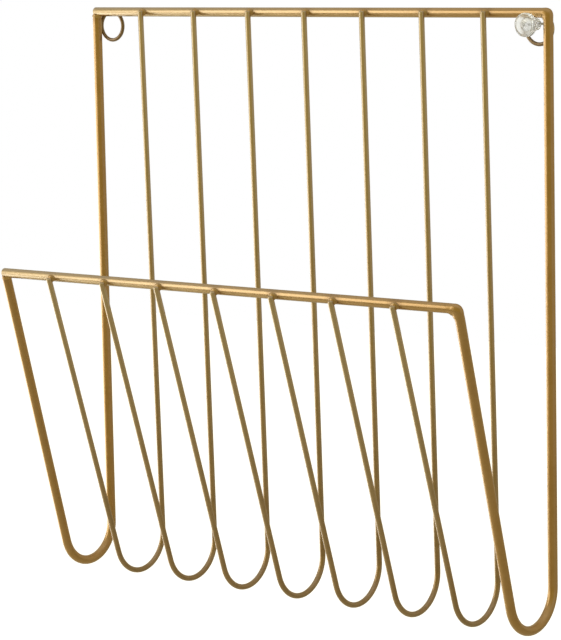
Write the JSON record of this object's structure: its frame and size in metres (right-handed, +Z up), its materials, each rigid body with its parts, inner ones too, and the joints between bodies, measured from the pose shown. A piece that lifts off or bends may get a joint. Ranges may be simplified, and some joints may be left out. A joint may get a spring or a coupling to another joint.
{
  "type": "wall magazine rack",
  "caption": "Wall-hung magazine rack of bent and welded brass-coloured wire: a flat back that turns up at the foot into a slanted open pocket, with two hanging rings and a clear wall pin.",
  "frame": {"origin": "on the wall plane, midway between the centres of the two hanging rings", "axes": "+X along the wall to the right as seen from the front, +Y into the wall, +Z up"},
  "size_m": [0.3054, 0.0989, 0.312],
  "materials": {
    "brass_wire": "satin, brass-coloured lacquered wire",
    "weld_bead": "satin, under the same lacquer as the wire",
    "clear_plastic": "clear, polished",
    "pin_steel": "bright drawn wire"
  },
  "bodies": {
    "rack": {"frame_wire": "brass_wire", "left_side_wire": "brass_wire", "rib_wire_1": "brass_wire", "rib_wire_2": "brass_wire", "rib_wire_3": "brass_wire", "rib_wire_4": "brass_wire", "rib_wire_5": "brass_wire", "rib_wire_6": "brass_wire", "rib_wire_7": "brass_wire", "hanging_ring_left": "brass_wire", "hanging_ring_right": "brass_wire", "weld_back_1": "weld_bead", "weld_back_2": "weld_bead", "weld_back_3": "weld_bead", "weld_back_4": "weld_bead", "weld_back_5": "weld_bead", "weld_back_6": "weld_bead", "weld_back_7": "weld_bead", "weld_front_1": "weld_bead", "weld_front_2": "weld_bead", "weld_front_3": "weld_bead", "weld_front_4": "weld_bead", "weld_front_5": "weld_bead", "weld_front_6": "weld_bead", "weld_front_7": "weld_bead", "weld_corner_back": "weld_bead", "weld_corner_front": "weld_bead", "weld_ring_left_rail": "weld_bead", "weld_ring_left_side": "weld_bead", "weld_ring_right_rail": "weld_bead", "weld_ring_right_side": "weld_bead"},
    "wall_pin": {"wall_pin_body": "clear_plastic", "wall_pin_spike": "pin_steel"}
  },
  "joints": [
    {"name": "wall_pin_pull", "type": "slide", "parent": "rack", "child": "wall_pin", "axis": [0, -1, 0], "range_m": [0, 0.025]}
  ]
}
